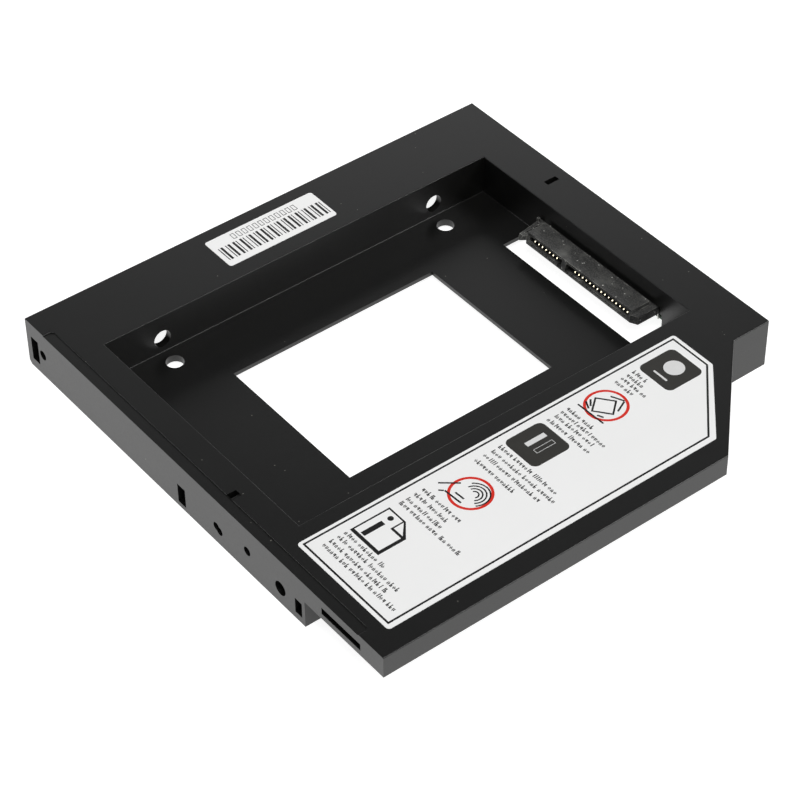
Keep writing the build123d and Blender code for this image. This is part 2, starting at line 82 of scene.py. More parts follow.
def startMaterial(name, shaderSettings):
    material = bpy.data.materials.new(name)
    material.use_nodes = True
    tree = material.node_tree
    tree.nodes.clear()
    output = tree.nodes.new("ShaderNodeOutputMaterial")
    shader = addNode(tree, "ShaderNodeBsdfPrincipled", shaderSettings)
    tree.links.new(shader.outputs["BSDF"], output.inputs["Surface"])
    coords = tree.nodes.new("ShaderNodeTexCoord").outputs["Object"]
    return material, tree, shader, coords


# Camera, at the photograph's viewing angle

cameraView = {
    "location": (0.34674, -0.27656, 0.40362),  # metres
    "right": (0.617386, 0.786608, -0.009063),
    "up": (-0.526698, 0.421893, 0.737967),
    "lensMm": 123.252,
    "frameMm": 36,
    "nearest": 0.01,  # metres
    "farthest": 50,
}


def makeCamera(view):
    data = bpy.data.cameras.new("photoCamera")
    data.sensor_fit = "HORIZONTAL"
    data.sensor_width = view["frameMm"]
    data.lens = view["lensMm"]
    data.clip_start = view["nearest"]
    data.clip_end = view["farthest"]
    camera = bpy.data.objects.new("photoCamera", data)
    bpy.context.scene.collection.objects.link(camera)
    right = Vector(view["right"]).normalized()
    up = Vector(view["up"]).normalized()
    turned = Matrix((right, up, right.cross(up))).transposed().to_4x4()
    camera.matrix_world = Matrix.Translation(view["location"]) @ turned
    bpy.context.scene.camera = camera


makeCamera(cameraView)
print("camera set")


# Studio: a matt white table so bright that the tray throws no shadow on it, and four soft lights.
# The overhead one sets the tone of the top and the labels, the rear one the top's sheen, and the
# front and side ones light the edges and the pocket's walls.

studio = {
    "tableHex": "#acacab",
    "tableRoughness": 0.9,
    "tableGlow": 0.9,
    "tableHalf": 12,  # metres from its middle to a side
    "tableGapMm": 0.05,  # below the tray, so that the two faces don't meet
    "worldHex": "#9a9ca0",
    "worldStrength": 0.22,
    "lights": {  # places, aims and sizes in metres
        "overheadSoftbox": {
            "at": (0.45, -0.2, 1.2), "aim": (0, 0, 0), "size": (0.9, 0.9), "watts": 12.2,
        },
        "rearSoftbox": {
            "at": (-1.08, 0.86, 0.62), "aim": (0, 0, 0), "size": (1.0, 0.5), "watts": 2.4,
        },
        "frontSoftbox": {
            "at": (-0.62, -0.72, 0.55), "aim": (-0.03, 0, 0), "size": (0.35, 0.3), "watts": 1.6,
        },
        "sideSoftbox": {
            "at": (0.95, 0.7, 0.7), "aim": (0, 0, 0), "size": (0.5, 0.4), "watts": 6.6,
        },
    },
}


def makeTable(settings):
    mesh = bpy.data.meshes.new("studioTable")
    half = settings["tableHalf"]
    corners = [(-half, -half, 0), (half, -half, 0), (half, half, 0), (-half, half, 0)]
    mesh.from_pydata(corners, [], [(0, 1, 2, 3)])
    table = bpy.data.objects.new("studioTable", mesh)
    table.location.z = shellLow.z - settings["tableGapMm"] / 1000
    bpy.context.scene.collection.objects.link(table)
    # Matt white sweep with a glow of its own: it looks pure white right up to the tray
    material = startMaterial("mattWhiteTable", {
        "Base Color": hexToLinear(settings["tableHex"]),
        "Roughness": settings["tableRoughness"],
        "Emission Color": (1, 1, 1, 1),
        "Emission Strength": settings["tableGlow"],
    })[0]
    mesh.materials.append(material)


def makeLights(settings):
    for name, light in settings["lights"].items():
        data = bpy.data.lights.new(name, "AREA")
        data.shape = "RECTANGLE"
        data.size, data.size_y = light["size"]
        data.energy = light["watts"]
        lamp = bpy.data.objects.new(name, data)
        lamp.location = light["at"]
        facing = Vector(light["aim"]) - Vector(light["at"])
        lamp.rotation_euler = facing.to_track_quat("-Z", "Y").to_euler()
        bpy.context.scene.collection.objects.link(lamp)
    world = bpy.data.worlds.new("studioRoom")
    world.use_nodes = True
    background = world.node_tree.nodes["Background"]
    background.inputs["Color"].default_value = hexToLinear(settings["worldHex"])
    background.inputs["Strength"].default_value = settings["worldStrength"]
    bpy.context.scene.world = world
    bpy.context.scene.view_settings.view_transform = "Standard"
    bpy.context.scene.view_settings.look = "None"


makeTable(studio)
makeLights(studio)
print("studio lit")


# Finishes

shellFinish = {
    "baseHex": "#0a0a09",
    "mottleHex": "#0f0f0e",
    "mottleMm": 9.0,
    "ior": 1.52,
    "roughness": 0.34,
    "roughnessSpread": 0.05,
    "grainMm": 0.45,
    "grainDepthMm": 0.006,
    "grainStrength": 0.5,
    "partingLineMm": {"height": 7.2, "width": 0.09, "beyondX": 102.3},
    "dustApartMm": 5.0,
    "dustRadiusMm": 0.14,
    "dustHex": "#6e6d67",
}


# ABS, injection moulded against a spark-eroded steel tool: a fine even grain that spreads
# highlights into a soft satin sheen, with slight clouding and a few specks of dust.
def mouldedAbs(name, finish):
    material, tree, shader, coords = startMaterial(name, {"IOR": finish["ior"]})
    clouds = addNode(tree, "ShaderNodeTexNoise", {
        "Scale": perMetre(finish["mottleMm"]), "Detail": 3.0,
    }, {"Vector": coords})
    colour = addNode(tree, "ShaderNodeMix", {
        "data_type": "RGBA",
        firstColour: hexToLinear(finish["baseHex"]),
        secondColour: hexToLinear(finish["mottleHex"]),
    }, {"Factor": clouds.outputs["Fac"]})
    # Dust: only the very middle of a cell is light, where the surface happens to cut it
    dustCells = addNode(tree, "ShaderNodeTexVoronoi", {
        "Scale": perMetre(finish["dustApartMm"]),
    }, {"Vector": coords})
    dustSpots = addNode(tree, "ShaderNodeMath", {
        "operation": "LESS_THAN", 1: finish["dustRadiusMm"] / finish["dustApartMm"],
    }, {0: dustCells.outputs["Distance"]})
    dusted = addNode(tree, "ShaderNodeMix", {
        "data_type": "RGBA", secondColour: hexToLinear(finish["dustHex"]),
    }, {"Factor": dustSpots.outputs[0], firstColour: colour.outputs[mixedColour]})
    tree.links.new(dusted.outputs[mixedColour], shader.inputs["Base Color"])
    # The mould's parting line, on the right-hand side behind the wing
    line = finish["partingLineMm"]
    linePlace = place(line["beyondX"], 0, line["height"])
    axes = addNode(tree, "ShaderNodeSeparateXYZ", None, {"Vector": coords})
    atHeight = addNode(tree, "ShaderNodeMath", {
        "operation": "COMPARE", 1: linePlace.z, 2: line["width"] / 2000,
    }, {0: axes.outputs["Z"]})
    outside = addNode(tree, "ShaderNodeMath", {
        "operation": "GREATER_THAN", 1: linePlace.x,
    }, {0: axes.outputs["X"]})
    onLine = addNode(tree, "ShaderNodeMath", {
        "operation": "MULTIPLY",
    }, {0: atHeight.outputs[0], 1: outside.outputs[0]})
    # Real spark grain is about 0.05 mm; it is drawn coarser, so that a pixel can hold it
    grain = addNode(tree, "ShaderNodeTexNoise", {
        "Scale": perMetre(finish["grainMm"]), "Detail": 2.0,
    }, {"Vector": coords})
    sheen = addNode(tree, "ShaderNodeMapRange", {
        "To Min": finish["roughness"] - finish["roughnessSpread"],
        "To Max": finish["roughness"] + finish["roughnessSpread"],
    }, {"Value": grain.outputs["Fac"]})
    tree.links.new(sheen.outputs["Result"], shader.inputs["Roughness"])
    relief = addNode(tree, "ShaderNodeMath", {
        "operation": "SUBTRACT",
    }, {0: grain.outputs["Fac"], 1: onLine.outputs[0]})
    bump = addNode(tree, "ShaderNodeBump", {
        "Strength": finish["grainStrength"], "Distance": finish["grainDepthMm"] / 1000,
    }, {"Height": relief.outputs[0]})
    tree.links.new(bump.outputs["Normal"], shader.inputs["Normal"])
    return material


connectorFinish = {
    "baseHex": "#303030",
    "ior": 1.55,
    "roughness": 0.28,
    "fibreHex": "#666663",
    "fibreMm": 0.35,
    "fibreRange": (0.45, 0.72),  # levels of the noise where a fleck begins and where it is full
    "fibreDepthMm": 0.01,
    "fibreStrength": 0.35,
    "smudgeHex": "#646461",
    "smudgeMm": 3.5,
    "smudgeRange": (0.5, 0.8),
    # painted highlight along the edges, pale where rounded edges would catch the light
    "edgeHighlightHex": "#979791",
    "edgeMm": 0.2,
    "edgeTurn": (0.998, 0.93),  # cosines of the turn where the painted edge highlight begins and where it is full
    "edgeRange": (0.42, 0.62),  # levels of the smudges between which an edge gets its painted highlight
    "speckHex": "#b9b9b4",
    "speckApartMm": 1.5,
    "speckRadiusMm": 0.17,
}
# the black plug gets the same painted edge highlight, in a darker colour
blackConnectorFinish = {
    **connectorFinish, "baseHex": "#191919", "fibreHex": "#3a3a39", "edgeHighlightHex": "#55554f",
}


# PBT with chopped glass, moulded: dark grey with paler glass flecks and smudges near the
# surface, a few pale specks of flash and dust, and a painted highlight along its edges here and there.
def glassFilledPbt(name, finish):
    material, tree, shader, coords = startMaterial(name, {
        "IOR": finish["ior"], "Roughness": finish["roughness"],
    })
    flecks = addNode(tree, "ShaderNodeTexNoise", {
        "Scale": perMetre(finish["fibreMm"]), "Detail": 4.0, "Roughness": 0.7,
    }, {"Vector": coords})
    ramp = addNode(tree, "ShaderNodeValToRGB", None, {"Fac": flecks.outputs["Fac"]})
    colours = (finish["baseHex"], finish["fibreHex"])
    for stop, level, code in zip(ramp.color_ramp.elements, finish["fibreRange"], colours):
        stop.position = level
        stop.color = hexToLinear(code)
    smudges = addNode(tree, "ShaderNodeTexNoise", {
        "Scale": perMetre(finish["smudgeMm"]), "Detail": 2.0,
    }, {"Vector": coords})
    worn = addNode(tree, "ShaderNodeMapRange", {
        "From Min": finish["smudgeRange"][0], "From Max": finish["smudgeRange"][1],
    }, {"Value": smudges.outputs["Fac"]})
    smudged = addNode(tree, "ShaderNodeMix", {
        "data_type": "RGBA", secondColour: hexToLinear(finish["smudgeHex"]),
    }, {"Factor": worn.outputs["Result"], firstColour: ramp.outputs["Color"]})
    cells = addNode(tree, "ShaderNodeTexVoronoi", {
        "Scale": perMetre(finish["speckApartMm"]),
    }, {"Vector": coords})
    specks = addNode(tree, "ShaderNodeMath", {
        "operation": "LESS_THAN", 1: finish["speckRadiusMm"] / finish["speckApartMm"],
    }, {0: cells.outputs["Distance"]})
    specked = addNode(tree, "ShaderNodeMix", {
        "data_type": "RGBA", secondColour: hexToLinear(finish["speckHex"]),
    }, {"Factor": specks.outputs[0], firstColour: smudged.outputs[mixedColour]})
    # A painted highlight goes on the edges: an edge is where a rounded normal turns away from the
    # face's own
    rounded = addNode(tree, "ShaderNodeBevel", {"samples": 8, "Radius": finish["edgeMm"] / 1000})
    face = tree.nodes.new("ShaderNodeNewGeometry")
    turn = addNode(tree, "ShaderNodeVectorMath", {
        "operation": "DOT_PRODUCT",
    }, {0: rounded.outputs["Normal"], 1: face.outputs["Normal"]})
    onEdge = addNode(tree, "ShaderNodeMapRange", {
        "From Min": finish["edgeTurn"][0], "From Max": finish["edgeTurn"][1],
    }, {"Value": turn.outputs["Value"]})
    highlightPatches = addNode(tree, "ShaderNodeMapRange", {
        "From Min": finish["edgeRange"][0], "From Max": finish["edgeRange"][1],
    }, {"Value": smudges.outputs["Fac"]})
    # the painted edge highlight, laid on the edges in patches
    paintedEdgeHighlight = addNode(tree, "ShaderNodeMath", {
        "operation": "MULTIPLY",
    }, {0: onEdge.outputs["Result"], 1: highlightPatches.outputs["Result"]})
    withEdgeHighlight = addNode(tree, "ShaderNodeMix", {
        "data_type": "RGBA", secondColour: hexToLinear(finish["edgeHighlightHex"]),
    }, {"Factor": paintedEdgeHighlight.outputs[0], firstColour: specked.outputs[mixedColour]})
    tree.links.new(withEdgeHighlight.outputs[mixedColour], shader.inputs["Base Color"])
    bump = addNode(tree, "ShaderNodeBump", {
        "Strength": finish["fibreStrength"], "Distance": finish["fibreDepthMm"] / 1000,
    }, {"Height": flecks.outputs["Fac"]})
    tree.links.new(bump.outputs["Normal"], shader.inputs["Normal"])
    return material


metalFinishes = {
    "goldPlate": {"lightHex": "#efe7d2", "darkHex": "#d2c49f", "roughness": 0.24, "grainMm": 0.4},
    "brightTin": {"lightHex": "#d3d3cf", "darkHex": "#a9a9a4", "roughness": 0.3, "grainMm": 0.5},
    "zincSteel": {"lightHex": "#b9bcc0", "darkHex": "#85888c", "roughness": 0.33, "grainMm": 0.3},
}
bathSpread = (-0.06, 0.08)  # how far a plating bath leaves the roughness from its usual value


# Plated metal: gold over nickel, dipped tin or bright zinc. Each shows as a clean metal
# reflection, slightly uneven in tone where the plating bath left it so.
def platedMetal(name, finish):
    material, tree, shader, coords = startMaterial(name, {"Metallic": 1.0})
    bath = addNode(tree, "ShaderNodeTexNoise", {
        "Scale": perMetre(finish["grainMm"]), "Detail": 2.0,
    }, {"Vector": coords})
    tone = addNode(tree, "ShaderNodeMix", {
        "data_type": "RGBA",
        firstColour: hexToLinear(finish["darkHex"]),
        secondColour: hexToLinear(finish["lightHex"]),
    }, {"Factor": bath.outputs["Fac"]})
    tree.links.new(tone.outputs[mixedColour], shader.inputs["Base Color"])
    rough = addNode(tree, "ShaderNodeMapRange", {
        "To Min": finish["roughness"] + bathSpread[0], "To Max": finish["roughness"] + bathSpread[1],
    }, {"Value": bath.outputs["Fac"]})
    tree.links.new(rough.outputs["Result"], shader.inputs["Roughness"])
    return material


boardFinish = {
    "maskHex": "#123d24",
    "trackHex": "#1d5a35",
    "ior": 1.5,
    "roughness": 0.28,
    "tracksMm": 10.4,  # the size of the repeating pattern of tracks
    "trackShare": 0.06,  # and a track's width, run and row in shares of it
    "runShare": 2.4,
    "rowShare": 0.5,
    "weaveMm": 0.5,
    "weaveDepthMm": 0.01,
    "weaveStrength": 0.2,
}


# Glass-epoxy laminate under green solder mask: glossy, with copper tracks as lighter lines.
def maskedLaminate(name, finish):
    material, tree, shader, coords = startMaterial(name, {
        "Roughness": finish["roughness"], "IOR": finish["ior"],
    })
    tracks = addNode(tree, "ShaderNodeTexBrick", {
        "Scale": perMetre(finish["tracksMm"]),
        "Mortar Size": finish["trackShare"],
        "Brick Width": finish["runShare"],
        "Row Height": finish["rowShare"],
        "Color1": hexToLinear(finish["maskHex"]),
        "Color2": hexToLinear(finish["maskHex"]),
        "Mortar": hexToLinear(finish["trackHex"]),
    }, {"Vector": coords})
    weave = addNode(tree, "ShaderNodeTexNoise", {
        "Scale": perMetre(finish["weaveMm"]), "Detail": 1.0,
    }, {"Vector": coords})
    bump = addNode(tree, "ShaderNodeBump", {
        "Strength": finish["weaveStrength"], "Distance": finish["weaveDepthMm"] / 1000,
    }, {"Height": weave.outputs["Fac"]})
    tree.links.new(tracks.outputs["Color"], shader.inputs["Base Color"])
    tree.links.new(bump.outputs["Normal"], shader.inputs["Normal"])
    return material


chipFinish = {
    "ior": 1.6,
    "capHex": "#c9c9c4",
    "capRoughness": 0.3,
    "bodyRoughness": 0.6,
    "firedMm": 0.3,
    "firedShade": 0.75,  # how dark the darkest firing is against the body
}
capacitorFinish = {**chipFinish, "bodyHex": "#a58767", "bodyMm": 2.4}
resistorFinish = {**chipFinish, "bodyHex": "#26282a", "bodyMm": 0.8}


# Fired ceramic chip with dipped tin ends: matt body, bright caps.
def firedCeramic(name, finish, middle):
    material, tree, shader, coords = startMaterial(name, {"IOR": finish["ior"]})
    along = addNode(tree, "ShaderNodeSeparateXYZ", None, {"Vector": coords})
    fromMiddle = addNode(tree, "ShaderNodeMath", {
        "operation": "SUBTRACT", 1: middle,
    }, {0: along.outputs["X"]})
    distance = addNode(tree, "ShaderNodeMath", {"operation": "ABSOLUTE"}, {0: fromMiddle.outputs[0]})
    onCap = addNode(tree, "ShaderNodeMath", {
        "operation": "GREATER_THAN", 1: finish["bodyMm"] / 2000,
    }, {0: distance.outputs[0]})
    fired = addNode(tree, "ShaderNodeTexNoise", {
        "Scale": perMetre(finish["firedMm"]), "Detail": 2.0,
    }, {"Vector": coords})
    bodyColour = hexToLinear(finish["bodyHex"])
    body = addNode(tree, "ShaderNodeMix", {
        "data_type": "RGBA",
        firstColour: bodyColour,
        secondColour: [c * finish["firedShade"] for c in bodyColour[:3]] + [1],
    }, {"Factor": fired.outputs["Fac"]})
    colour = addNode(tree, "ShaderNodeMix", {
        "data_type": "RGBA", secondColour: hexToLinear(finish["capHex"]),
    }, {"Factor": onCap.outputs[0], firstColour: body.outputs[mixedColour]})
    rough = addNode(tree, "ShaderNodeMapRange", {
        "To Min": finish["bodyRoughness"], "To Max": finish["capRoughness"],
    }, {"Value": onCap.outputs[0]})
    tree.links.new(colour.outputs[mixedColour], shader.inputs["Base Color"])
    tree.links.new(onCap.outputs[0], shader.inputs["Metallic"])
    tree.links.new(rough.outputs["Result"], shader.inputs["Roughness"])
    return material


paperFinishes = {
    "labelStock": {"hex": "#f5f5f4", "cloudHex": "#f1f1f0", "roughness": 0.42},
    "labelTint": {"hex": "#f4f4f3", "cloudHex": "#f0f0ef", "roughness": 0.42},
    "barcodeStock": {"hex": "#fdfdfc", "cloudHex": "#fafaf9", "roughness": 0.36},
}
inkFinishes = {
    "blackInk": {"hex": "#080808", "cloudHex": "#101010", "roughness": 0.38},
    "charcoalInk": {"hex": "#292825", "cloudHex": "#302f2b", "roughness": 0.38},
    "redInk": {"hex": "#d3200f", "cloudHex": "#da2b18", "roughness": 0.38},
    "bareStockInIcon": {"hex": "#d6d6d5", "cloudHex": "#dededd", "roughness": 0.42},
}
stockSurface = {
    "ior": 1.48,
    "paperCloudMm": 14.0,
    "inkCloudMm": 1.5,
    "fibreMm": 0.4,
    "fibreDepthMm": 0.01,
    "fibreStrength": 0.15,
}


# Coated label paper: bright, even, a faint fibre cloud and a weak gloss from the coating.
# Litho ink on it: a thin film, slightly uneven where it lies thin.
def printedStock(name, finish, cloudMm, surface):
    material, tree, shader, coords = startMaterial(name, {
        "Roughness": finish["roughness"], "IOR": surface["ior"],
    })
    cloud = addNode(tree, "ShaderNodeTexNoise", {
        "Scale": perMetre(cloudMm), "Detail": 3.0,
    }, {"Vector": coords})
    tone = addNode(tree, "ShaderNodeMix", {
        "data_type": "RGBA",
        firstColour: hexToLinear(finish["hex"]),
        secondColour: hexToLinear(finish["cloudHex"]),
    }, {"Factor": cloud.outputs["Fac"]})
    fibre = addNode(tree, "ShaderNodeTexNoise", {
        "Scale": perMetre(surface["fibreMm"]), "Detail": 2.0,
    }, {"Vector": coords})
    bump = addNode(tree, "ShaderNodeBump", {
        "Strength": surface["fibreStrength"], "Distance": surface["fibreDepthMm"] / 1000,
    }, {"Height": fibre.outputs["Fac"]})
    tree.links.new(tone.outputs[mixedColour], shader.inputs["Base Color"])
    tree.links.new(bump.outputs["Normal"], shader.inputs["Normal"])
    return material


blackAbs = mouldedAbs("spark-erodedBlackAbs", shellFinish)
greyPbt = glassFilledPbt("glassFilledGreyPbt", connectorFinish)
blackPbt = glassFilledPbt("glassFilledBlackPbt", blackConnectorFinish)
plating = {name: platedMetal(name, finish) for name, finish in metalFinishes.items()}
laminate = maskedLaminate("greenMaskedLaminate", boardFinish)
papers = {
    name: printedStock(name, finish, stockSurface["paperCloudMm"], stockSurface)
    for name, finish in paperFinishes.items()
}
inks = {
    name: printedStock(name, finish, stockSurface["inkCloudMm"], stockSurface)
    for name, finish in inkFinishes.items()
}

nodeFinish = {
    "tray_shell": blackAbs,
    "drive_receptacle": greyPbt,
    "drive_signal_contacts": plating["goldPlate"],
    "drive_power_contacts": plating["goldPlate"],
    "drive_clip_left": plating["brightTin"],
    "drive_clip_right": plating["brightTin"],
    "adapter_board": laminate,
    "host_plug": blackPbt,
    "host_signal_contacts": plating["goldPlate"],
    "host_power_contacts": plating["goldPlate"],
    "host_clip_left": plating["brightTin"],
    "host_clip_right": plating["brightTin"],
    "board_screw_left": plating["zincSteel"],
    "board_screw_right": plating["zincSteel"],
}
chipNodes = {
    "supply_capacitor_a": capacitorFinish,
    "supply_capacitor_b": capacitorFinish,
    "presence_resistor": resistorFinish,
}
for chipNode, finish in chipNodes.items():
    low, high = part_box(chipNode)
    nodeFinish[chipNode] = firedCeramic(chipNode + "Ceramic", finish, (low[0] + high[0]) / 2)
for nodeName, material in nodeFinish.items():
    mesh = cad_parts[nodeName].data
    mesh.materials.clear()
    mesh.materials.append(material)
print("finishes on", len(nodeFinish), "nodes")


# Printed stickers. Each is a thin sheet with its print as a thinner film on top, and together
# they are as thick as the CAD sticker.

stickerMm = {"paper": 0.07, "tint": 0.085, "ink": 0.1}  # heights above the tray's top


# A flat closed solid from an outline in mm, in plan.
def addPrism(bm, outline, bottom, top):
    low = [bm.verts.new(place(x, y, bottom)) for x, y in outline]
    high = [bm.verts.new(place(x, y, top)) for x, y in outline]
    bm.faces.new(high)
    bm.faces.new(low[::-1])
    for i in range(len(outline)):
        j = (i + 1) % len(outline)
        bm.faces.new((low[i], low[j], high[j], high[i]))


# A flat closed band between two outlines with as many points each.
def addBand(bm, outer, inner, bottom, top):
    outerLow, outerHigh, innerLow, innerHigh = (
        [bm.verts.new(place(x, y, z)) for x, y in outline]
        for outline in (outer, inner) for z in (bottom, top)
    )
    for i in range(len(outer)):
        j = (i + 1) % len(outer)
        bm.faces.new((outerHigh[i], outerHigh[j], innerHigh[j], innerHigh[i]))
        bm.faces.new((outerLow[j], outerLow[i], innerLow[i], innerLow[j]))
        bm.faces.new((outerLow[i], outerLow[j], outerHigh[j], outerHigh[i]))
        bm.faces.new((innerLow[j], innerLow[i], innerHigh[i], innerHigh[j]))


def finishPiece(name, bm, material, replaced=None):
    mesh = bpy.data.meshes.new(name)
    bmesh.ops.recalc_face_normals(bm, faces=bm.faces)
    bm.to_mesh(mesh)
    bm.free()
    piece = bpy.data.objects.new(name, mesh)
    bpy.context.scene.collection.objects.link(piece)
    mesh.materials.append(material)
    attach(piece, "root")
    if replaced:
        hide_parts(replaced)


def roundedOutline(points, radius, steps=6):
    rounded = []
    for i, corner in enumerate(points):
        here = Vector(corner)
        before = (Vector(points[i - 1]) - here).normalized()
        after = (Vector(points[(i + 1) % len(points)]) - here).normalized()
        half = before.angle(after) / 2
        centre = here + (before + after).normalized() * radius / math.sin(half)
        start = here + before * radius / math.tan(half) - centre
        end = here + after * radius / math.tan(half) - centre
        first = math.atan2(start.y, start.x)
        turn = (math.atan2(end.y, end.x) - first + math.pi) % (2 * math.pi) - math.pi
        for k in range(steps + 1):
            angle = first + turn * k / steps
            rounded.append((centre.x + radius * math.cos(angle), centre.y + radius * math.sin(angle)))
    return rounded


def circleOutline(x, y, radius, steps=48):
    turns = [2 * math.pi * k / steps for k in range(steps)]
    return [(x + radius * math.cos(turn), y + radius * math.sin(turn)) for turn in turns]


# An outline with all its sides moved inwards.
def insetOutline(points, distance):
    moved = []
    count = len(points)
    area = sum(points[i - 1][0] * points[i][1] - points[i][0] * points[i - 1][1] for i in range(count))
    side = 1 if area > 0 else -1
    for i in range(count):
        here = Vector(points[i])
        before = (here - Vector(points[i - 1])).normalized()
        after = (Vector(points[(i + 1) % count]) - here).normalized()
        normalBefore = Vector((-before.y, before.x)) * side
        normalAfter = Vector((-after.y, after.x)) * side
        middle = (normalBefore + normalAfter).normalized()
        spot = here + middle * distance / middle.dot(normalBefore)
        moved.append((spot.x, spot.y))
    return moved


def rectangle(x0, y0, x1, y1):
    return [(x0, y0), (x1, y0), (x1, y1), (x0, y1)]


# A straight line of a given width.
def addStroke(bm, start, end, width, bottom, top):
    along = (Vector(end) - Vector(start)).normalized() * width / 2
    across = Vector((-along.y, along.x))
    start, end = Vector(start), Vector(end)
    corners = [start - across, end - across, end + across, start + across]
    addPrism(bm, [tuple(corner) for corner in corners], bottom, top)


# A part of a ring, from one angle to another in degrees.
def addArc(bm, x, y, radius, width, fromAngle, toAngle, bottom, top, steps=24):
    turns = [math.radians(fromAngle + (toAngle - fromAngle) * k / steps) for k in range(steps + 1)]
    outer = [(x + radius * math.cos(t), y + radius * math.sin(t)) for t in turns]
    inner = [(x + (radius - width) * math.cos(t), y + (radius - width) * math.sin(t)) for t in turns]
    addPrism(bm, outer + inner[::-1], bottom, top)


infoLabel = {
    "outline": [(92.95, 5.3), (122.8, 5.3), (122.8, 91.8), (105.3, 107.1), (92.95, 107.1)],
    "corner": 0.8,
    "line": [(93.69, 6.2), (121.58, 6.2), (121.52, 91.1), (104.75, 106.24), (93.69, 106.24)],
    "lineWidth": 0.45,
    "lineOverTint": 0.1,
    # each row of marks: where it lies and where it ends
    "rows": [
        (14.9, 109.65), (13.1, 116.0), (11.15, 114.8), (9.35, 120.1),
        (34.75, 109.75), (32.65, 106.8), (30.6, 108.0), (28.8, 116.0),
        (55.1, 115.15), (53.05, 117.65), (51.0, 114.3), (48.6, 110.2),
        (73.7, 104.65), (72.0, 111.0), (70.3, 108.5), (68.3, 110.0),
        (92.2, 100.9), (90.5, 101.4), (88.9, 104.7), (87.15, 101.8),
    ],
    "rowStart": 96.4,
    "seed": 7,
    "group": (3, 8),  # fewest and most marks in a group
    "groupGap": 0.55,  # in pitches, as the next two are
    "markWidth": 0.68,
    "postPitch": 0.6,
    "markPitch": 0.86,
    "markHeight": 0.85,
    "tallMark": 1.4,  # in heights
    "markStroke": 0.23,
    "squares": [(95.88, 93.8, 106.05, 104.0), (95.88, 56.46, 106.0, 66.8)],
    "squareCorner": 1.5,
    "disc": (100.965, 99.9, 2.35),  # bare in the first square, as the plate below it is
    "plate": (98.865, 95.65, 103.065, 96.15),
    "plateCorner": 0.2,
    "bar": (98.93, 59.66, 100.23, 64.95),  # in the second square, beside the open bar
    "openBar": (101.63, 59.86, 102.93, 64.95),
    "openBarLine": 0.1,
    "rings": [(100.85, 80.7, 4.93), (103.5, 41.65, 4.88)],
    "ringWidth": 0.66,
    "leaningSquare": [(97.35, 80.5), (101.15, 83.5), (104.1, 80.0), (100.2, 76.95)],
    "strokeWidth": 0.42,
    "strokes": [
        ((99.25, 83.3), (102.15, 84.65)), ((102.3, 84.5), (103.75, 81.4)), ((97.3, 79.4), (98.9, 78.0)),
        ((97.2, 78.2), (99.2, 77.2)), ((96.8, 76.3), (104.65, 76.55)), ((101.9, 77.2), (103.3, 77.8)),
        ((96.95, 38.4), (99.9, 42.0)), ((98.6, 37.1), (99.4, 37.9)), ((99.5, 38.05), (104.4, 38.35)),
        ((101.3, 39.4), (103.9, 39.55)),
    ],
    "arcs": [(1.1, -30, 160), (1.9, -40, 165), (2.7, -40, 170), (3.5, -35, 150)],
    "arcMiddle": (104.25, 42.0),
    "arcWidth": 0.34,
    "page": [(96.35, 16.1), (105.6, 16.1), (105.6, 23.2), (101.7, 26.25), (96.35, 26.25)],
    "pageInner": [(96.75, 16.95), (104.75, 16.95), (104.75, 23.0), (101.55, 25.85), (96.75, 25.85)],
    "pageFold": [(101.25, 23.2, 101.6, 25.95), (101.25, 22.6, 104.75, 23.2)],
    "pageDot": (99.0, 24.45, 0.68),
    "pageBar": (98.35, 17.3, 99.65, 22.6),
}

# Plain marks, with their posts and bars in shares of a mark's width and height.
markShapes = {
    "box": {"posts": (0, 1), "bars": (0, 1)},
    "arch": {"posts": (0, 1), "bars": (1,)},
    "cup": {"posts": (0, 1), "bars": (0,)},
    "post": {"posts": (0.5,), "bars": ()},
    "shelf": {"posts": (0,), "bars": (0, 0.5)},
    "hook": {"posts": (1,), "bars": (0.5, 1)},
}


# One plain mark. A pair of posts stops short of its bars, so that the corners look rounded.
def addMark(bm, label, kind, x, low, bottom, top):
    shape = markShapes[kind]
    wide = label["markPitch"] * label["markWidth"]
    high = label["markHeight"]
    stroke = label["markStroke"]
    tall = high * label["tallMark"] if kind in ("post", "shelf") else high
    paired = len(shape["posts"]) == 2
    foot = low + (stroke if paired and 0 in shape["bars"] else 0)
    head = low + tall - (stroke if paired and 1 in shape["bars"] else 0)
    for share in shape["posts"]:
        left = x + (wide - stroke) * share
        addPrism(bm, rectangle(left, foot, left + stroke, head), bottom, top)
    first = x + (stroke if 0 in shape["posts"] else 0)
    last = x + wide - (stroke if 1 in shape["posts"] else 0)
    for share in shape["bars"]:
        shelf = low + (high - stroke) * share
        addPrism(bm, rectangle(first, shelf, last, shelf + stroke), bottom, top)


# A row of plain marks in groups, so that the row reads as print from afar.
def addMarkRow(bm, label, y, end, dice, bottom, top):
    x = label["rowStart"]
    pitch = label["markPitch"]
    low = y - label["markHeight"] / 2
    while x < end - pitch:
        for mark in range(dice.randint(*label["group"])):
            if x > end - pitch * label["markWidth"]:
                break
            kind = dice.choice(tuple(markShapes))
            addMark(bm, label, kind, x, low, bottom, top)
            x += pitch * (label["postPitch"] if kind == "post" else 1)
        x += pitch * label["groupGap"]


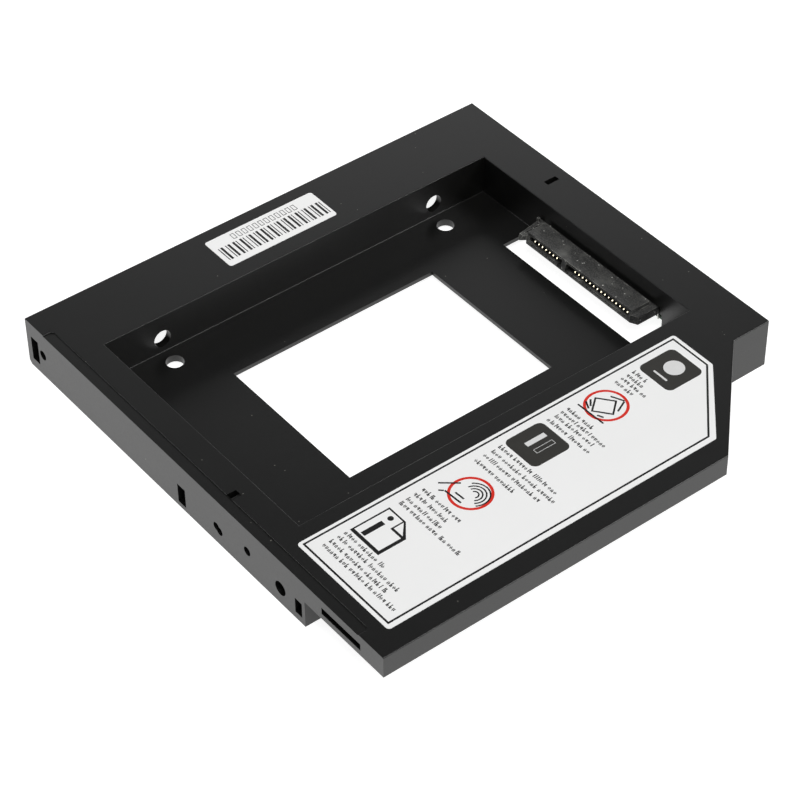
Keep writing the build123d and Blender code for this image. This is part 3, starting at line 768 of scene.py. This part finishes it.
def makeInfoLabel(label):
    paperTop, tintTop, inkTop = (topMm + stickerMm[layer] for layer in ("paper", "tint", "ink"))
    patchTop = (tintTop + inkTop) / 2  # black print lies over red, and bare marks over charcoal
    paper = bmesh.new()
    addPrism(paper, roundedOutline(label["outline"], label["corner"]), topMm, paperTop)
    finishPiece("infoLabelPaper", paper, papers["labelStock"], "info_sticker")
    tint = bmesh.new()
    addPrism(tint, insetOutline(label["line"], label["lineOverTint"]), paperTop, tintTop)
    finishPiece("infoLabelTint", tint, papers["labelTint"])

    black = bmesh.new()
    addBand(black, label["line"], insetOutline(label["line"], label["lineWidth"]), paperTop, inkTop)
    # A page with a turned corner, a dot and a bar
    addBand(black, label["page"], label["pageInner"], tintTop, inkTop)
    for fold in label["pageFold"]:
        addPrism(black, rectangle(*fold), tintTop, inkTop)
    addPrism(black, circleOutline(*label["pageDot"], steps=24), tintTop, inkTop)
    addPrism(black, rectangle(*label["pageBar"]), tintTop, inkTop)
    # A plain leaning square with a few strokes in the first ring, thin arcs and lines in the second
    square = label["leaningSquare"]
    addBand(black, square, insetOutline(square, label["strokeWidth"]), tintTop, inkTop)
    for start, end in label["strokes"]:
        addStroke(black, start, end, label["strokeWidth"], tintTop, inkTop)
    for radius, fromAngle, toAngle in label["arcs"]:
        middle, wide = label["arcMiddle"], label["arcWidth"]
        addArc(black, *middle, radius, wide, fromAngle, toAngle, tintTop, inkTop)
    finishPiece("infoLabelPrint", black, inks["blackInk"])

    rows = bmesh.new()
    dice = random.Random(label["seed"])
    for y, end in label["rows"]:
        addMarkRow(rows, label, y, end, dice, tintTop, inkTop)
    finishPiece("infoLabelRows", rows, inks["blackInk"])

    charcoal = bmesh.new()
    for square in label["squares"]:
        addPrism(charcoal, roundedOutline(rectangle(*square), label["squareCorner"]), tintTop, patchTop)
    finishPiece("infoLabelSquares", charcoal, inks["charcoalInk"])
    bare = bmesh.new()
    addPrism(bare, circleOutline(*label["disc"]), patchTop, inkTop)
    addPrism(bare, roundedOutline(rectangle(*label["plate"]), label["plateCorner"]), patchTop, inkTop)
    addPrism(bare, rectangle(*label["bar"]), patchTop, inkTop)
    openBar = rectangle(*label["openBar"])
    addBand(bare, openBar, insetOutline(openBar, label["openBarLine"]), patchTop, inkTop)
    finishPiece("infoLabelSquareMarks", bare, inks["bareStockInIcon"])

    red = bmesh.new()
    for x, y, radius in label["rings"]:
        outer, inner = (circleOutline(x, y, r, steps=72) for r in (radius, radius - label["ringWidth"]))
        addBand(red, outer, inner, tintTop, patchTop)
    finishPiece("infoLabelRings", red, inks["redInk"])


barcodeLabel = {
    "outline": (3.45, 45.6, 13.8, 75.6),
    "corner": 0.7,
    "bars": (7.1, 46.8, 11.9, 75.0),
    "thinBar": 0.22,
    "thickBar": 0.56,
    "gaps": (1.8, 3.4, 5.0),  # in thin bars
    "lean": 0.35,  # how far the print leans to the right over the length of the bars
    "boxes": (4.4, 51.6, 6.3, 69.9),
    "boxCount": 12,
    "boxShare": 0.64,  # of its pitch
    "boxLine": 0.13,
}


# Thick and thin bars by a plain repeating rule and a row of plain open boxes, all of it printed
# leaning a little to the right towards the rear.
def makeBarcodeLabel(label):
    bottom, top = topMm + stickerMm["paper"], topMm + stickerMm["ink"]
    paper = bmesh.new()
    addPrism(paper, roundedOutline(rectangle(*label["outline"]), label["corner"]), topMm, bottom)
    finishPiece("barcodePaper", paper, papers["barcodeStock"], "barcode_sticker")

    printed = bmesh.new()
    x0, y0, x1, y1 = label["bars"]

    def leaning(outline):
        return [(x + label["lean"] * (y - y0) / (y1 - y0), y) for x, y in outline]

    y = y0
    step = 0
    while y < y1:
        wide = label["thickBar"] if (step * 3 + step // 4) % 2 else label["thinBar"]
        addPrism(printed, leaning(rectangle(x0, y, x1, min(y + wide, y1))), bottom, top)
        y += wide + label["thinBar"] * label["gaps"][(step * 7 + step // 2) % 3]
        step += 1
    left, first, right, last = label["boxes"]
    pitch = (last - first) / label["boxCount"]
    half = pitch * label["boxShare"] / 2
    for k in range(label["boxCount"]):
        middle = first + (k + 0.5) * pitch
        box = rectangle(left, middle - half, right, middle + half)
        addBand(printed, leaning(box), leaning(insetOutline(box, label["boxLine"])), bottom, top)
    finishPiece("barcodePrint", printed, inks["blackInk"])


makeInfoLabel(infoLabel)
makeBarcodeLabel(barcodeLabel)
print("stickers printed")
